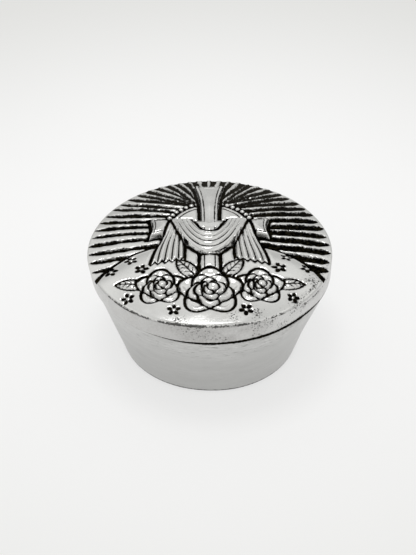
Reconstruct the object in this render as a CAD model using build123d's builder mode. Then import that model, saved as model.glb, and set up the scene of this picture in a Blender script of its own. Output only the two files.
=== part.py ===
from build123d import *
from math import atan2, cos, degrees, hypot, pi, radians, sin, sqrt
import os

# Round keepsake box for a rosary: a cast aluminium bowl, and a lift-off lid with a relief on top.
# Millimetres. +Z is up, the origin is the centre of the base, and -Y is the front of the relief.

# Outer shape: a shallow tapered bowl, and a lid that carries the taper on up to a sharp rim.
base_radius = 37.6
mouth_radius = 48.5
body_height = 36.0
lid_overhang = 0.5
lid_side_height = 8.0
lid_side_flare = 1.0
dome_rise = 3.2

# Casting walls, and the rounding of their edges.
wall = 3.4
floor_thickness = 3.6
lid_web = 4.0
base_edge_round = 0.8
mouth_edge_round = 0.6
seam_edge_round = 0.5
cavity_corner_round = 6.0

# The lip under the lid that drops into the mouth of the body, and the recess inside it.
lip_clearance = 0.6
lip_depth = 4.5
lip_thickness = 2.6
lip_edge_round = 0.6
recess_draft = 0.4
recess_corner_round = 2.0

# Heights of the layers of the relief over the dome, each higher than the last, and their root under it.
nimbus_height = 0.7
hill_height = 1.2
leaf_height = 1.7
cross_height = 2.1
petal_height = 2.3
tail_height = 2.5
swag_height = 2.8
heart_height = 3.0
relief_root = 1.8

# Sunburst: grooves from under the cross out to a plain border inside the rim. A groove is aimed at
# the middle line of the lid, at this share of its outer end's height above the sun.
sun_y = 10.0
ray_depth = 1.0
ray_count = 40
ray_half_fan = 116.0
ray_crowding = 0.13
ray_spread = 0.62
ray_start = 4.0
ray_groove_width = 2.5
ray_width_share = 0.6
ray_point = 4.5
ray_border = 1.4

# Nimbus: a low disc behind the cross, inside a ring of beads that stand on a plain ring of the dome.
nimbus_radius = 16.4
bead_ring_radius = 18.4
bead_radius = 1.08
bead_count = 44
bead_seat_border = 0.6

# Cross, whose three free arms widen in a curve to a hollow end.
cross_half_span = 25.0
cross_rim_gap = 8.5
cross_foot_tuck = 1.0
cross_waist = 7.2
cross_flare = 3.0
cross_end_hollow = 1.2

# Cloth over the arms: a swag that hangs in front of the post, and a tail down from each arm.
cloth_rise = 4.9
swag_top_half = 8.0
swag_top_sag = 10.3
swag_bottom_half = 16.0
swag_bottom_sag = 24.7
swag_power = 2.2
tail_inner = 10.4
tail_width = 5.6
tail_spread = 5.8
tail_length = 29.0
tail_pleats = 4
tail_pleat_depth = 1.8

# Two hills that the cross stands on.
hill_radius = 38.0
hill_offset = 11.0
hill_top_y = -2.0
hill_border = 1.2

# Blossoms at the foot of the cross, as the angle round the rim from the front, and the radius.
front_blossom = (0.0, 12.0)
side_blossom = (34.0, 9.0)
blossom_rim_gap = 6.5
petal_count = 5
petal_share = 0.46
petal_offset_share = 0.56
heart_share = 0.35

# Leaves that grow out from under the blossoms, as the direction of the right one, length and width.
front_leaf = (55.0, 15.0, 6.0)
side_leaf = (8.0, 13.0, 5.4)
leaf_tuck = 4.5

# Sizes that follow from the ones above.
seam_radius = mouth_radius + lid_overhang
rim_radius = seam_radius + lid_side_flare
rim_z = body_height + lid_side_height
crown_z = rim_z + dome_rise
body_taper = (mouth_radius - base_radius) / body_height
mouth_inner_radius = mouth_radius - wall
cavity_floor_radius = mouth_inner_radius - body_taper * (body_height - floor_thickness)
lip_outer_radius = mouth_inner_radius - lip_clearance
lip_tip_outer_radius = lip_outer_radius - body_taper * lip_depth
lip_tip_inner_radius = lip_tip_outer_radius - lip_thickness
lip_tip_z = body_height - lip_depth
recess_radius = lip_tip_inner_radius - recess_draft
blossoms = [front_blossom, side_blossom, (-side_blossom[0], side_blossom[1])]

# How far an edge may lie from the height that it is chosen by.
edge_tolerance = 0.01


def dome_height(radius):
    """Z of the lid's dome, at a distance from its middle."""
    sphere_radius = (rim_radius**2 + dome_rise**2) / (2 * dome_rise)
    return crown_z - sphere_radius + sqrt(sphere_radius**2 - radius**2)


def domed_disc(height):
    """A disc as wide as the rim, from the relief's root up to the dome raised by that height."""
    halfway = rim_radius / 2
    with BuildPart() as disc:
        with BuildSketch(Plane.XZ):
            with BuildLine():
                Polyline(
                    (0, crown_z + height),
                    (0, rim_z - relief_root),
                    (rim_radius, rim_z - relief_root),
                    (rim_radius, rim_z + height),
                )
                ThreePointArc(
                    (rim_radius, rim_z + height),
                    (halfway, dome_height(halfway) + height),
                    (0, crown_z + height),
                )
            make_face()
        revolve(axis=Axis.Z)
    return disc.part


def raised(outline, height):
    """The outline as a layer of the relief, which stands that high over the lid's dome."""
    cap = domed_disc(height)
    with BuildPart() as layer:
        with BuildSketch(Plane.XY.offset(rim_z - relief_root)):
            add(outline)
        extrude(amount=relief_root + dome_rise + height)
        add(cap, mode=Mode.INTERSECT)
    return layer.part


def engraved(outline, depth):
    """What is cut away to sink the outline that deep into the lid's dome."""
    floor = domed_disc(-depth)
    with BuildPart() as cut:
        with BuildSketch(Plane.XY.offset(rim_z - relief_root)):
            add(outline)
        extrude(amount=relief_root + dome_rise)
        add(floor, mode=Mode.SUBTRACT)
    return cut.part


def ray_outline():
    """The grooves between the rays: pointed outside, closer together at the back, and clear of the beads."""
    mean_pitch = radians(2 * ray_half_fan / (ray_count - 1)) * rim_radius
    border_radius = rim_radius - ray_border
    bead_seat_radius = bead_ring_radius + bead_radius + bead_seat_border
    with BuildSketch() as grooves:
        for number in range(ray_count):
            place = 2 * number / (ray_count - 1) - 1
            crowding = 1 - ray_crowding + ray_crowding * place**2
            rim_angle = radians(90 + ray_half_fan * place * crowding)
            pitch = mean_pitch * (crowding + 2 * ray_crowding * place**2)
            tip_x = border_radius * cos(rim_angle)
            tip_y = border_radius * sin(rim_angle)
            aim_y = sun_y + ray_spread * (tip_y - sun_y)
            reach = hypot(tip_x, tip_y - aim_y)
            heading = atan2(tip_y - aim_y, tip_x)
            inner = pitch * ray_spread * abs(cos(rim_angle) * cos(heading))
            outer = pitch * cos(heading - rim_angle)
            start = inner + (outer - inner) * ray_start / reach
            half_start = min(ray_width_share * start, ray_groove_width) / 2
            half_outer = min(ray_width_share * outer, ray_groove_width) / 2
            with Locations(Location((0, aim_y, 0), (0, 0, degrees(heading)))):
                Polygon(
                    (ray_start, -half_start),
                    (reach - ray_point, -half_outer),
                    (reach, 0),
                    (reach - ray_point, half_outer),
                    (ray_start, half_start),
                    align=None,
                )
        with Locations((0, sun_y)):
            Circle(bead_seat_radius, mode=Mode.SUBTRACT)
    return grooves.sketch


def nimbus_outline():
    """The plain disc behind the crossing."""
    with BuildSketch() as nimbus:
        with Locations((0, sun_y)):
            Circle(nimbus_radius)
    return nimbus.sketch


def bead_centres():
    """Points on the dome, evenly spaced on the ring round the nimbus."""
    centres = []
    for number in range(bead_count):
        angle = 2 * pi * number / bead_count
        x = bead_ring_radius * cos(angle)
        y = sun_y + bead_ring_radius * sin(angle)
        centres.append((x, y, dome_height(hypot(x, y))))
    return centres


def blossom_centre(blossom):
    """Where a blossom sits: its angle round from the front, and its edge a set gap inside the rim."""
    angle, radius = blossom
    distance = rim_radius - blossom_rim_gap - radius
    return distance * sin(radians(angle)), -distance * cos(radians(angle))


def cross_arm(reach):
    """One arm of the cross, out along +X from the crossing."""
    waist = cross_waist / 2
    corner = waist + cross_flare
    with BuildSketch() as arm:
        with BuildLine():
            Line((-waist, waist), (-waist, -waist))
            Line((-waist, -waist), (waist, -waist))
            TangentArc((waist, -waist), (reach, -corner), tangent=(1, 0))
            ThreePointArc((reach, -corner), (reach - cross_end_hollow, 0), (reach, corner))
            TangentArc((waist, waist), (reach, corner), tangent=(1, 0))
            Line((waist, waist), (-waist, waist))
        make_face()
    return arm.sketch


def cross_outline():
    """A Latin cross: two side arms and a top arm, and a post whose foot is under the front blossom."""
    top_reach = rim_radius - cross_rim_gap - sun_y
    foot_y = blossom_centre(front_blossom)[1] + front_blossom[1] - cross_foot_tuck
    arms = [(0, cross_half_span), (90, top_reach), (180, cross_half_span)]
    with BuildSketch() as cross:
        with Locations((0, (sun_y + foot_y) / 2)):
            Rectangle(cross_waist, sun_y - foot_y)
        for facing, reach in arms:
            with Locations(Location((0, sun_y, 0), (0, 0, facing))):
                add(cross_arm(reach))
    return cross.sketch


def sag_points(half_width, sag):
    """Points along an edge of the swag, from one arm down and up to the other."""
    points = []
    for share in (-1, -0.75, -0.5, -0.25, 0, 0.25, 0.5, 0.75, 1):
        drop = sag * (1 - abs(share) ** swag_power)
        points.append((half_width * share, sun_y + cloth_rise - drop))
    return points


def swag_outline():
    """The middle of the cloth, between its two hanging edges."""
    upper = sag_points(swag_top_half, swag_top_sag)
    lower = sag_points(swag_bottom_half, swag_bottom_sag)
    with BuildSketch() as swag:
        with BuildLine():
            Spline(*upper)
            Line(upper[-1], lower[-1])
            Spline(*lower)
            Line(lower[0], upper[0])
        make_face()
    return swag.sketch


def tail_outline():
    """The two tails of the cloth: each widens to a pleated hem."""
    top_y = sun_y + cloth_rise
    with BuildSketch() as tails:
        for side in (-1, 1):
            hem = []
            for fold in range(2 * tail_pleats + 1):
                x = tail_inner + (tail_width + tail_spread) * fold / (2 * tail_pleats)
                hem.append((side * x, top_y - tail_length + tail_pleat_depth * (fold % 2)))
            Polygon(
                (side * (tail_inner + tail_width), top_y),
                (side * tail_inner, top_y),
                *hem,
                align=None,
            )
    return tails.sketch


def hill_outline():
    """Two hills that meet behind the foot of the cross and run out to the rim."""
    hill_y = hill_top_y - hill_radius
    with BuildSketch() as hills:
        with Locations((-hill_offset, hill_y), (hill_offset, hill_y)):
            Circle(hill_radius)
        Circle(rim_radius - hill_border, mode=Mode.INTERSECT)
    return hills.sketch


def leaf_shape(length, width):
    """A leaf, the lens between two arcs, along X."""
    bulge = (length**2 + width**2) / (4 * width)
    with BuildSketch() as leaf:
        with Locations((0, bulge - width / 2)):
            Circle(bulge)
        with Locations((0, width / 2 - bulge)):
            Circle(bulge, mode=Mode.INTERSECT)
    return leaf.sketch


def leaf_outline():
    """Four leaves: two from the edge of the front blossom, and one from each side blossom."""
    stems = [
        (front_blossom, front_leaf, front_leaf[0]),
        (front_blossom, front_leaf, 180 - front_leaf[0]),
        (blossoms[1], side_leaf, side_leaf[0]),
        (blossoms[2], side_leaf, 180 - side_leaf[0]),
    ]
    with BuildSketch() as leaves:
        for blossom, (_, length, width), pointing in stems:
            x, y = blossom_centre(blossom)
            with Locations(Location((x, y, 0), (0, 0, pointing))):
                with Locations((blossom[1] - leaf_tuck + length / 2, 0)):
                    add(leaf_shape(length, width))
    return leaves.sketch


def petal_outline():
    """A ring of round petals about the middle of every blossom."""
    with BuildSketch() as petals:
        for blossom in blossoms:
            with Locations(blossom_centre(blossom)):
                with PolarLocations(blossom[1] * petal_offset_share, petal_count, start_angle=90):
                    Circle(blossom[1] * petal_share)
    return petals.sketch


def heart_outline():
    """The round heart of every blossom."""
    with BuildSketch() as hearts:
        for blossom in blossoms:
            with Locations(blossom_centre(blossom)):
                Circle(blossom[1] * heart_share)
    return hearts.sketch


def circles_at(part, height):
    """The circular edges of a part that lie at that height."""
    circles = part.edges().filter_by(GeomType.CIRCLE)
    return circles.filter_by_position(Axis.Z, height - edge_tolerance, height + edge_tolerance)


os.makedirs("parts", exist_ok=True)

# Body: one tapered bowl with an even wall and a rounded corner round its floor.
with BuildPart() as box_body:
    with BuildSketch(Plane.XZ):
        Polygon(
            (0, 0),
            (base_radius, 0),
            (mouth_radius, body_height),
            (mouth_inner_radius, body_height),
            (cavity_floor_radius, floor_thickness),
            (0, floor_thickness),
            align=None,
        )
    revolve(axis=Axis.Z)
    fillet(circles_at(box_body, floor_thickness), cavity_corner_round)
    fillet(circles_at(box_body, 0), base_edge_round)
    fillet(circles_at(box_body, body_height), mouth_edge_round)
box_body.part.label = "box_body"
export_step(box_body.part, "parts/box_body.step")

# Lid, before its relief: a domed web with a tapered side, and a lip that drops into the body's mouth.
ceiling_z = crown_z - lid_web
ceiling_edge_z = dome_height(recess_radius) - lid_web
with BuildPart() as lid:
    with BuildSketch(Plane.XZ):
        with BuildLine():
            Line((0, ceiling_z), (0, crown_z))
            ThreePointArc((0, crown_z), (rim_radius / 2, dome_height(rim_radius / 2)), (rim_radius, rim_z))
            Polyline(
                (rim_radius, rim_z),
                (seam_radius, body_height),
                (lip_outer_radius, body_height),
                (lip_tip_outer_radius, lip_tip_z),
                (lip_tip_inner_radius, lip_tip_z),
                (recess_radius, ceiling_edge_z),
            )
            ThreePointArc(
                (recess_radius, ceiling_edge_z),
                (recess_radius / 2, dome_height(recess_radius / 2) - lid_web),
                (0, ceiling_z),
            )
        make_face()
    revolve(axis=Axis.Z)
    fillet(circles_at(lid, ceiling_edge_z), recess_corner_round)
    fillet(circles_at(lid, lip_tip_z), lip_edge_round)
    fillet(circles_at(lid, body_height).sort_by(SortBy.RADIUS)[-1], seam_edge_round)

# The relief: the sunburst is cut first, and every layer of the rest stands higher than the one before.
sunburst = engraved(ray_outline(), ray_depth)
relief_layers = [
    raised(nimbus_outline(), nimbus_height),
    raised(hill_outline(), hill_height),
    raised(leaf_outline(), leaf_height),
    raised(cross_outline(), cross_height),
    raised(petal_outline(), petal_height),
    raised(tail_outline(), tail_height),
    raised(swag_outline(), swag_height),
    raised(heart_outline(), heart_height),
]
with lid:
    add(sunburst, mode=Mode.SUBTRACT)
    add(relief_layers)
    with Locations(*bead_centres()):
        Sphere(bead_radius)
lid.part.label = "lid"
export_step(lid.part, "parts/lid.step")
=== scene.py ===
from math import atan2, cos, hypot, pi, radians, sin

import bpy
import numpy as np
from mathutils import Euler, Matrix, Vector


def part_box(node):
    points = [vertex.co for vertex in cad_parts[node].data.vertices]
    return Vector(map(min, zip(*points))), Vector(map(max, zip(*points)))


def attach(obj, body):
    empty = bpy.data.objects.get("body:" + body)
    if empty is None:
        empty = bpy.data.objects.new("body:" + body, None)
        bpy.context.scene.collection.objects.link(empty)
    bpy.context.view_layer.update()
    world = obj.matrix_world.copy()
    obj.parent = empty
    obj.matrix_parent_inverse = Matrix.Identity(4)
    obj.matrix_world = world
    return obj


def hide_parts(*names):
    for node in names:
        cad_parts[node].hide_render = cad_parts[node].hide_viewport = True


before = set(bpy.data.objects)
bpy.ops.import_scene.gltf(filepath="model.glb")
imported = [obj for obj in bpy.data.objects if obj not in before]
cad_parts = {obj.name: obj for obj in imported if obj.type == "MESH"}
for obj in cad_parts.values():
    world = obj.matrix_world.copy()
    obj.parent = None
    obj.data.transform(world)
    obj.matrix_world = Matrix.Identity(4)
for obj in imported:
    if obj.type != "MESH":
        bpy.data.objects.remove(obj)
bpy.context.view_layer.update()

MM = 0.001

# Sizes that the frame gives.
_, body_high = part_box("box_body")
lid_low, lid_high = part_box("lid")
SEAT_Z = body_high.z / MM
RIM_RADIUS = lid_high.x / MM
LIP_TIP_Z = lid_low.z / MM

FRONT = -90

# Smooth noise comes from a square table of random numbers. It repeats after this many cells each way, and
# the origin lies this many cells in from the table's corner.
NOISE_CELLS = 255
NOISE_SHIFT = 64.0

# Points on a rounded corner of a profile.
CORNER_STEPS = 7

# Body.
BASE_RADIUS = 37.6
MOUTH_RADIUS = 48.5
WALL = 3.4
FLOOR_THICKNESS = 3.6
BASE_EDGE_ROUND = 0.8
MOUTH_EDGE_ROUND = 0.4
CAVITY_CORNER_ROUND = 6.0
BODY_SEGMENTS = 288
# How much the widening of the side adds to the radius for each millimetre of height.
TAPER = (MOUTH_RADIUS - BASE_RADIUS) / SEAT_Z

# Lid.
SEAM_RADIUS = 49.0
LID_SIDE_HEIGHT = 8.0
DOME_RISE = 3.2
LID_WEB = 4.0
SEAM_EDGE_ROUND = 0.35
LIP_CLEARANCE = 0.6
LIP_THICKNESS = 2.6
LIP_EDGE_ROUND = 0.6
RECESS_DRAFT = 0.4
RECESS_CORNER_ROUND = 2.0
# How much higher the recess is in the middle than at its side.
RECESS_CROWN = 2.0
LID_RINGS = 144
LID_SIDE_RINGS = 14

# The cast fields are a little wavy, and the relief rises towards the back.
WAVE_HEIGHT = 0.24
RIPPLE_HEIGHT = 0.04
BACK_RISE = 0.7

# The relief sinks towards the rim across a wide border. At the rim it keeps a share of its height, and near
# the front a further share. The grooves lose a share of their depth.
SINK_BORDER = 9.0
RIM_SHARE = 0.35
FRONT_RIM_SHARE = 0.5
GROOVE_LOSS = 0.5

# The rim's edge is rounded off at this radius, across a strip that is widest at the front.
EDGE_RADIUS = 1.6
EDGE_ROUND = 0.5
FRONT_EDGE_ROUND = 1.15

# Sunburst.
SUN_Y = 10.0
RAY_COUNT = 40
RAY_HALF_FAN = radians(116)
RAY_CROWDING = 0.13
RAY_DEPTH = 1.0
# A ray aims at the middle line of the lid, at this share of its outer end's height above the sun.
# At the back that share is smaller, by up to RAY_SPREAD_LOSS of itself.
RAY_SPREAD = 0.62
RAY_SPREAD_LOSS = 0.45
# A ray stops this far inside the rim, but at the back it runs out over it.
RAY_BORDER = 0.3
RAY_OVERRUN = 2.5
# Its width where there is room for it, and the share of the room that it may take. A slant makes either
# one greater at the right than at the left.
RAY_WIDTH = 3.3
RAY_WIDTH_SLANT = 0.7
RAY_SHARE = 0.76
RAY_SHARE_SLANT = 0.06
# Length of the point at its outer end, and how far it wanders from a straight line.
RAY_POINT = 4.0
RAY_BEND = 0.35
# The ridges between the rays swell a little, and the floors of the grooves are rough.
RIDGE_SWELL = 0.07
FLOOR_ROUGHNESS = 0.14

# Nimbus and its beads. A motif's height over the dome is that of its edge, and a bead's is that of its top.
NIMBUS_RADIUS = 16.4
NIMBUS_HEIGHT = 0.7
NIMBUS_DISH = 0.3
BEAD_RING_RADIUS = 18.4
BEAD_RADIUS = 1.08
BEAD_HEIGHT = 1.05
BEAD_SINK = 0.2
BEAD_COUNT = 44

# Cross, whose arms widen to their ends.
CROSS_TOP_Y = 41.5
CROSS_FOOT_Y = -20.5
CROSS_SPAN = 25.0
CROSS_WAIST = 3.6
CROSS_FLARE = 3.0
CROSS_HOLLOW = 1.2
CROSS_HEIGHT = 1.3
CROSS_RIDGE_SLOPE = 0.22

# Cloth over the cross: two tails, and a swag between them, whose folds rise and sink about their heights.
CLOTH_TOP_Y = SUN_Y + 4.9
HEM_Y = -14.1
TAIL_X = 13.2
TAIL_HEIGHT = 2.1
TAIL_FOLDS = 4.4
SWAG_HEIGHT = 2.9
SWAG_FOLDS = 4.5
FOLD_HEIGHT = 0.45

# Hills.
HILL_RADIUS = 38.0
HILL_OFFSET = 11.0
HILL_TOP_Y = -2.0
HILL_HEIGHT = 0.1

# Roses, as x, y and radius.
ROSE_DISTANCE = 34.5
ROSE_ANGLE = radians(34)
LEAF_TUCK = 4.5
LEAF_HEIGHT = 1.75
FRONT_ROSE = (0.0, -31.5, 12.0)
RIGHT_ROSE = (ROSE_DISTANCE * sin(ROSE_ANGLE), -ROSE_DISTANCE * cos(ROSE_ANGLE), 9.0)
LEFT_ROSE = (-RIGHT_ROSE[0], RIGHT_ROSE[1], RIGHT_ROSE[2])

# Leaves: the rose, the way that the leaf points, its length and its width.
LEAVES = [
    (FRONT_ROSE, 55, 15.0, 6.0), (FRONT_ROSE, 125, 15.0, 6.0),
    (RIGHT_ROSE, 8, 13.0, 5.4), (LEFT_ROSE, 172, 13.0, 5.4),
]

# Petals of a rose, ring by ring: how many, their distance out and their size as shares of the rose's
# radius, the first one's angle, and their height.
PETAL_RINGS = [
    (5, 0.56, 0.46, 90, 2.25), (5, 0.36, 0.36, 126, 2.75),
    (4, 0.21, 0.26, 100, 3.2), (3, 0.10, 0.17, 140, 3.6),
]

# Punched flowers: x, y, radius and turn.
FLOWERS = [
    (-39.2, -17.6, 3.0, 10), (-31.5, -11.8, 2.8, 40), (-27.0, -18.2, 3.0, 75), (-31.6, -34.2, 2.8, 30),
    (38.6, -16.2, 2.9, 55), (30.8, -10.2, 2.7, 5), (27.4, -17.6, 3.2, 33), (31.9, -34.0, 2.6, 3),
    (-13.8, -41.6, 2.8, 15), (13.6, -41.8, 2.9, 50),
]

# Patina is kept as a distance inside its edge. This stands for none.
FAR_OUTSIDE = -9.0

# How far down the bowl the seam's dirt and painted shadow reach at the back, and how much further where the
# mouth is worn.
SEAM_DIRT_AND_SHADE = 0.25
WORN_DIRT_AND_SHADE = 1.65
# Dirt and painted shadow are heaviest at the front right, where they reach this much further up the lid and
# have a softer edge.
DIRT_AND_SHADE_ANGLE = FRONT + 46
DIRT_AND_SHADE_ON_LID = 0.8
# A thin dark line of painted contact shadow at the foot: how far inside the patina's edge it counts as, and
# its height.
FOOT_SHADE = 0.10
FOOT_SHADE_HEIGHT = 1.2

# Hand finish. The bowl is fuller at the right, its foot stands out at the front, most of it at the front
# right, its mouth is worn back, and the lid overhangs it. The last two are for the lid's side.
BODY_UNEVENNESS = 0.06
FULLNESS = 1.1
FOOT = 0.3
FOOT_RIGHT = 0.4
MOUTH_SPREAD = 0.14
MOUTH_WEAR = 0.55
LID_UNEVENNESS = 0.05
LID_OVERHANG = 0.9

# Patches of casting pits in the polished top: x, y and radius.
SPECKLED = [
    (-12.0, -46.5, 3.0), (8.5, -45.5, 3.6), (17.5, -43.0, 4.0), (39.5, -23.5, 4.5), (33.0, -36.0, 3.6),
]
SPECKLED_PITTING = 0.78

# Size of the pits that join into rough patches, and the spacing of the round ones.
PIT_SIZE = 0.8
SPECKLE_SPACING = 0.55

# Colours of the patina, and of the haze on dull metal, which also paints shade on the lid's side.
BLACK_PATINA = (0.0005, 0.0005, 0.0005, 1)
BROWN_PATINA = (0.012, 0.010, 0.005, 1)
# Patina with a painted sheen, for the back of the lid.
PATINA_WITH_PAINTED_SHEEN = (0.023, 0.021, 0.017, 1)
DULL_AND_SHADED_METAL = (0.30, 0.29, 0.28, 1)

# Floor, in metres. Its colour paints a pool of light, brightest near FLOOR_CENTRE behind the box and darker
# far from it. The box's shadow keeps a share of its full strength.
FLOOR_HALF = 6.0
FLOOR_CENTRE = (0, 0.065, 0)
NEAR_FLOOR = (0.98, 0.98, 0.98, 1)
FAR_FLOOR = (0.79, 0.79, 0.775, 1)
SHADOW_SHARE = 0.37

# Brightness of the studio by height of direction, as the sine of its elevation.
STUDIO = [(0.0, 0.79), (0.18, 0.77), (0.33, 0.55), (0.47, 0.60), (0.63, 0.96), (0.77, 0.80), (1.0, 0.62)]

# The softbox, in metres and watts.
SOFTBOX_PLACE = (-0.05, 0.07, 0.8)
SOFTBOX_TARGET = (0, 0, 0.03)
SOFTBOX_SIZE = 0.25
SOFTBOX_POWER = 1.12

# The photograph's viewpoint: its height and the focal length in pixels, and lengths in metres.
PHOTO_HEIGHT_PX = 555
FOCAL_PX = 1075
SENSOR_MM = 36.0
CAMERA_ELEVATION = radians(38.72)
CAMERA_ROLL = radians(-0.43)
CAMERA_DISTANCE = 0.45
CAMERA_TARGET = (-0.00078, 0, 0.02885)


# ---------------- shapes in plan


def smooth(low, high, value):
    """0 at low, 1 at high, and a smooth step between them. low may be the greater one."""
    t = np.clip((value - low) / (high - low), 0, 1)
    return t * t * (3 - 2 * t)


def near(angles, centre, width):
    """1 at one angle round the box, and about a third at that width to either side. Both are in degrees."""
    return np.exp(-(((angles - radians(centre)) / radians(width)) ** 2))


def noise(x, y, cell, seed):
    """Smooth noise from -1 to 1 on a square lattice of that cell size."""
    table = np.random.default_rng(seed).uniform(-1, 1, (NOISE_CELLS + 1, NOISE_CELLS + 1))
    u = x / cell + NOISE_SHIFT
    v = y / cell + NOISE_SHIFT
    i = np.floor(u).astype(int)
    j = np.floor(v).astype(int)
    fu = smooth(0, 1, u - i)
    fv = smooth(0, 1, v - j)
    i %= NOISE_CELLS
    j %= NOISE_CELLS
    low = table[i, j] * (1 - fu) + table[i + 1, j] * fu
    high = table[i, j + 1] * (1 - fu) + table[i + 1, j + 1] * fu
    return low * (1 - fv) + high * fv


def in_disc(x, y, centre_x, centre_y, radius):
    """Distance inside a disc's edge, negative outside it."""
    return radius - np.hypot(x - centre_x, y - centre_y)


def in_box(x, y, centre_x, centre_y, half_x, half_y):
    """Distance inside a rectangle's edge, negative outside it."""
    over_x = np.abs(x - centre_x) - half_x
    over_y = np.abs(y - centre_y) - half_y
    outside = np.hypot(np.maximum(over_x, 0), np.maximum(over_y, 0))
    return -outside - np.minimum(np.maximum(over_x, over_y), 0)


def turned(x, y, centre_x, centre_y, angle):
    """Coordinates along and across a direction, from a centre."""
    along = (x - centre_x) * cos(angle) + (y - centre_y) * sin(angle)
    across = (y - centre_y) * cos(angle) - (x - centre_x) * sin(angle)
    return along, across


def pillow(inside, height, radius):
    """Height of a surface whose edge is rounded off over that radius."""
    t = np.clip(inside / radius, 0, 1)
    return height * np.sqrt(1 - (1 - t) ** 2)


class Relief:
    """The relief over the dome: its height, and how far a point lies inside the black patina."""

    def __init__(self, x, y):
        self.x = x
        self.y = y
        self.height = np.zeros_like(x)
        self.patina_and_shade = np.full_like(x, FAR_OUTSIDE)
        # Makes the edges of the black lines uneven.
        self.line_noise = 0.14 * noise(x, y, 3.1, 41) + 0.07 * noise(x, y, 1.3, 42)

    def lay(self, inside, surface, groove, sink, wall=0.35):
        """Lays a raised piece on what is there, with a black groove round outside its edge.

        groove is the black band's width, sink is its depth, and wall is half the width of the step up.
        """
        floor = self.height - sink * smooth(-1.6 * groove, -0.2 * groove, inside)
        step_middle = 0.2
        step = smooth(step_middle - wall, step_middle + wall, inside)
        self.height = floor * (1 - step) + surface * step
        band = np.minimum(inside + groove, 0.1 - inside) + self.line_noise
        self.patina_and_shade = np.where(inside > 0, np.maximum(band, -inside), np.maximum(self.patina_and_shade, band))

    def carve(self, inside, sink, soft, blur=1.0):
        """Cuts a black groove or a punch mark, whose side is soft wide. A small blur makes it ragged."""
        self.height -= sink * smooth(-0.12, soft, inside)
        self.patina_and_shade = np.maximum(self.patina_and_shade, blur * inside + 0.5 * self.line_noise)


def carve_rays(relief):
    """Ragged grooves aimed at the sun, with points at their outer ends, closer together at the back."""
    x, y = relief.x, relief.y
    deepest = np.full_like(x, FAR_OUTSIDE)
    depth = np.full_like(x, RAY_DEPTH)
    rng = np.random.default_rng(11)
    for number in range(RAY_COUNT):
        # From -1 for the first ray to 1 for the last.
        place = 2 * number / (RAY_COUNT - 1) - 1
        crowding = 1 - RAY_CROWDING + RAY_CROWDING * place**2
        angle = pi / 2 + RAY_HALF_FAN * place * crowding
        pitch = 2 * RAY_HALF_FAN / (RAY_COUNT - 1) * RIM_RADIUS * (crowding + 2 * RAY_CROWDING * place**2)
        behind = float(smooth(0.70, 0.95, sin(angle)))
        border = RAY_BORDER - RAY_OVERRUN * behind + rng.uniform(-0.3, 0.5)
        tip_x = (RIM_RADIUS - border) * cos(angle)
        tip_y = (RIM_RADIUS - border) * sin(angle)
        spread = RAY_SPREAD * (1 - RAY_SPREAD_LOSS * behind)
        aim_y = SUN_Y + spread * (tip_y - SUN_Y)
        reach = hypot(tip_x, tip_y - aim_y)
        heading = atan2(tip_y - aim_y, tip_x)
        along, across = turned(x, y, 0, aim_y, heading)
        # Shares of the pitch that lie between a ray's neighbours at its inner end and at the rim.
        inner = spread * abs(cos(angle) * cos(heading))
        outer = cos(heading - angle)
        room = pitch * (inner + (outer - inner) * np.clip(along / reach, 0, 1))
        most = RAY_WIDTH + RAY_WIDTH_SLANT * cos(angle) + rng.uniform(-0.25, 0.25)
        half_width = np.minimum(most, (RAY_SHARE + RAY_SHARE_SLANT * cos(angle)) * room) / 2
        point = (RAY_POINT + rng.uniform(-1.5, 1.5)) * (1 - 0.9 * behind)
        taper = np.clip((reach - along) / point, 0, 1) ** 0.5
        bend = RAY_BEND * np.sin(5 * along / reach + rng.uniform(0, 6))
        # Each ray reads the noise in a strip of its own.
        strip = 0.3 * across + 9 * number
        ragged = 0.22 * noise(along, strip, 1.1, 5) + 0.17 * noise(along, strip, 2.9, 6)
        inside = half_width * taper + ragged * taper - np.abs(across + bend)
        inside = np.minimum(inside, 1.5 * (reach - along))
        inside = np.minimum(inside, along)
        # The groove grows shallower towards its outer end, except at the back.
        run_out = 0.35 + 0.65 * smooth(0, 5.0, reach - along)
        depth = np.where(inside > deepest, RAY_DEPTH * (run_out + (1 - run_out) * behind), depth)
        deepest = np.maximum(deepest, inside)
    relief.height += RIDGE_SWELL * smooth(0.1, -1.0, deepest)
    relief.carve(deepest, depth, 0.55, blur=0.5)
    relief.height += FLOOR_ROUGHNESS * noise(x, y, 0.8, 21) * smooth(0.1, 0.5, deepest)


def lay_nimbus(relief):
    """A shallow dish behind the cross, in a ring of beads."""
    inside = in_disc(relief.x, relief.y, 0, SUN_Y, NIMBUS_RADIUS)
    surface = NIMBUS_HEIGHT + pillow(inside, 0.3, 2.0) - NIMBUS_DISH * smooth(0, NIMBUS_RADIUS, inside)
    relief.lay(inside, surface, groove=4.0, sink=0.5)
    # A line runs round 2 mm inside the edge.
    relief.carve(0.3 - np.abs(inside - 2.0), 0.3, 0.25)
    for number in range(BEAD_COUNT):
        angle = 2 * pi * number / BEAD_COUNT
        bead_x = BEAD_RING_RADIUS * cos(angle)
        bead_y = SUN_Y + BEAD_RING_RADIUS * sin(angle)
        inside = in_disc(relief.x, relief.y, bead_x, bead_y, BEAD_RADIUS)
        cap = pillow(inside, BEAD_HEIGHT + BEAD_SINK, BEAD_RADIUS) - BEAD_SINK
        relief.height = np.where(inside > 0, np.maximum(relief.height, cap), relief.height)
        relief.patina_and_shade = np.where(inside > 0, np.minimum(relief.patina_and_shade, 0.12 - inside), relief.patina_and_shade)


def lay_hills(relief):
    """Two smooth hills that the cross stands on."""
    centre_y = HILL_TOP_Y - HILL_RADIUS
    left = in_disc(relief.x, relief.y, -HILL_OFFSET, centre_y, HILL_RADIUS)
    right = in_disc(relief.x, relief.y, HILL_OFFSET, centre_y, HILL_RADIUS)
    inside = np.maximum(left, right)
    # A tight rounding at the edge, and a wide one over the whole hill.
    surface = HILL_HEIGHT + pillow(inside, 0.5, 1.6) + pillow(inside, 1.8, 24.0)
    relief.lay(inside, surface, groove=1.8, sink=0.6)


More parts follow.
